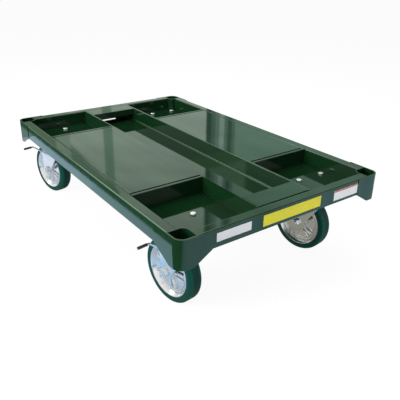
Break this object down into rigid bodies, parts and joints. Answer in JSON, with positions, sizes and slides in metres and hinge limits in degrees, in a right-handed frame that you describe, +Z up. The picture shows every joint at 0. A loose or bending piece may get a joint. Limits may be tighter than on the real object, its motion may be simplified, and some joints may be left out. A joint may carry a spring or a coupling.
{
  "type": "long platform trolley",
  "caption": "Long low platform trolley: green welded steel deck with a central trough, corner trays and post sockets, on swivel casters with foot brakes on the left side.",
  "frame": {"origin": "on the floor under the middle of the deck", "axes": "+Z up, +Y along the deck towards the end that the casters trail to, +X to the side without brakes"},
  "size_m": [0.7718, 1.2181, 0.3124],
  "materials": {
    "green_paint": "gloss",
    "zinc_plate": "zinc plated",
    "bright_steel": "bright",
    "cast_aluminium": "as cast",
    "green_rubber": "moulded rubber",
    "black_rubber": "moulded rubber"
  },
  "bodies": {
    "frame": {"side_rail_left": "green_paint", "side_rail_right": "green_paint", "end_rail_front": "green_paint", "end_rail_rear": "green_paint", "corner_guard_front_left": "green_paint", "corner_guard_front_right": "green_paint", "corner_guard_rear_left": "green_paint", "corner_guard_rear_right": "green_paint", "socket_plate_front_left": "green_paint", "socket_plate_front_right": "green_paint", "socket_plate_rear_left": "green_paint", "socket_plate_rear_right": "green_paint", "trough_channel": "green_paint", "cross_member_front_left": "green_paint", "cross_member_front_right": "green_paint", "cross_member_rear_left": "green_paint", "cross_member_rear_right": "green_paint", "deck_panel_left": "green_paint", "deck_panel_right": "green_paint", "trough_cover_front": "green_paint", "trough_cover_rear": "green_paint", "tray_plate_front_left": "green_paint", "tray_plate_front_right": "green_paint", "tray_plate_rear_left": "green_paint", "tray_plate_rear_right": "green_paint", "weld_beads": "green_paint", "caster_plate_front_left": "zinc_plate", "caster_plate_front_right": "zinc_plate", "caster_plate_rear_left": "zinc_plate", "caster_plate_rear_right": "zinc_plate", "king_pins": "bright_steel", "swivel_balls": "bright_steel", "mounting_bolts": "zinc_plate", "mounting_nuts": "zinc_plate"},
    "fork_front_left": {"fork_front_left": "zinc_plate", "axle_front_left": "bright_steel", "brake_pivot_front_left": "bright_steel"},
    "wheel_front_left": {"wheel_centre_front_left": "cast_aluminium", "tyre_front_left": "green_rubber", "bearings_front_left": "bright_steel"},
    "fork_front_right": {"fork_front_right": "zinc_plate", "axle_front_right": "bright_steel"},
    "wheel_front_right": {"wheel_centre_front_right": "cast_aluminium", "tyre_front_right": "green_rubber", "bearings_front_right": "bright_steel"},
    "fork_rear_left": {"fork_rear_left": "zinc_plate", "axle_rear_left": "bright_steel", "brake_pivot_rear_left": "bright_steel"},
    "wheel_rear_left": {"wheel_centre_rear_left": "cast_aluminium", "tyre_rear_left": "green_rubber", "bearings_rear_left": "bright_steel"},
    "fork_rear_right": {"fork_rear_right": "zinc_plate", "axle_rear_right": "bright_steel"},
    "wheel_rear_right": {"wheel_centre_rear_right": "cast_aluminium", "tyre_rear_right": "green_rubber", "bearings_rear_right": "bright_steel"},
    "brake_front_left": {"brake_lever_front_left": "zinc_plate", "pedal_cap_front_left": "black_rubber"},
    "brake_rear_left": {"brake_lever_rear_left": "zinc_plate", "pedal_cap_rear_left": "black_rubber"}
  },
  "joints": [
    {"name": "swivel_front_left", "type": "hinge", "parent": "frame", "child": "fork_front_left", "pos_m": [-0.2638, -0.4648, 0.2425], "axis": [0, 0, 1], "continuous": true},
    {"name": "roll_front_left", "type": "hinge", "parent": "fork_front_left", "child": "wheel_front_left", "pos_m": [-0.27136, -0.40326, 0.1], "axis": [0.9925, 0.1219, 0], "continuous": true},
    {"name": "swivel_front_right", "type": "hinge", "parent": "frame", "child": "fork_front_right", "pos_m": [0.2638, -0.4648, 0.2425], "axis": [0, 0, 1], "continuous": true},
    {"name": "roll_front_right", "type": "hinge", "parent": "fork_front_right", "child": "wheel_front_right", "pos_m": [0.25517, -0.4034, 0.1], "axis": [0.9903, 0.1392, 0], "continuous": true},
    {"name": "swivel_rear_left", "type": "hinge", "parent": "frame", "child": "fork_rear_left", "pos_m": [-0.2638, 0.4648, 0.2425], "axis": [0, 0, 1], "continuous": true},
    {"name": "roll_rear_left", "type": "hinge", "parent": "fork_rear_left", "child": "wheel_rear_left", "pos_m": [-0.27669, 0.52545, 0.1], "axis": [0.9781, 0.2079, 0], "continuous": true},
    {"name": "swivel_rear_right", "type": "hinge", "parent": "frame", "child": "fork_rear_right", "pos_m": [0.2638, 0.4648, 0.2425], "axis": [0, 0, 1], "continuous": true},
    {"name": "roll_rear_right", "type": "hinge", "parent": "fork_rear_right", "child": "wheel_rear_right", "pos_m": [0.25517, 0.5262, 0.1], "axis": [0.9903, 0.1392, 0], "continuous": true},
    {"name": "brake_front_left", "type": "hinge", "parent": "fork_front_left", "child": "brake_front_left", "pos_m": [-0.29701, -0.45276, 0.195], "axis": [0.9925, 0.1219, 0], "range_deg": [-11, 0]},
    {"name": "brake_rear_left", "type": "hinge", "parent": "fork_rear_left", "child": "brake_rear_left", "pos_m": [-0.29794, 0.4739, 0.195], "axis": [0.9781, 0.2079, 0], "range_deg": [-11, 0]}
  ]
}
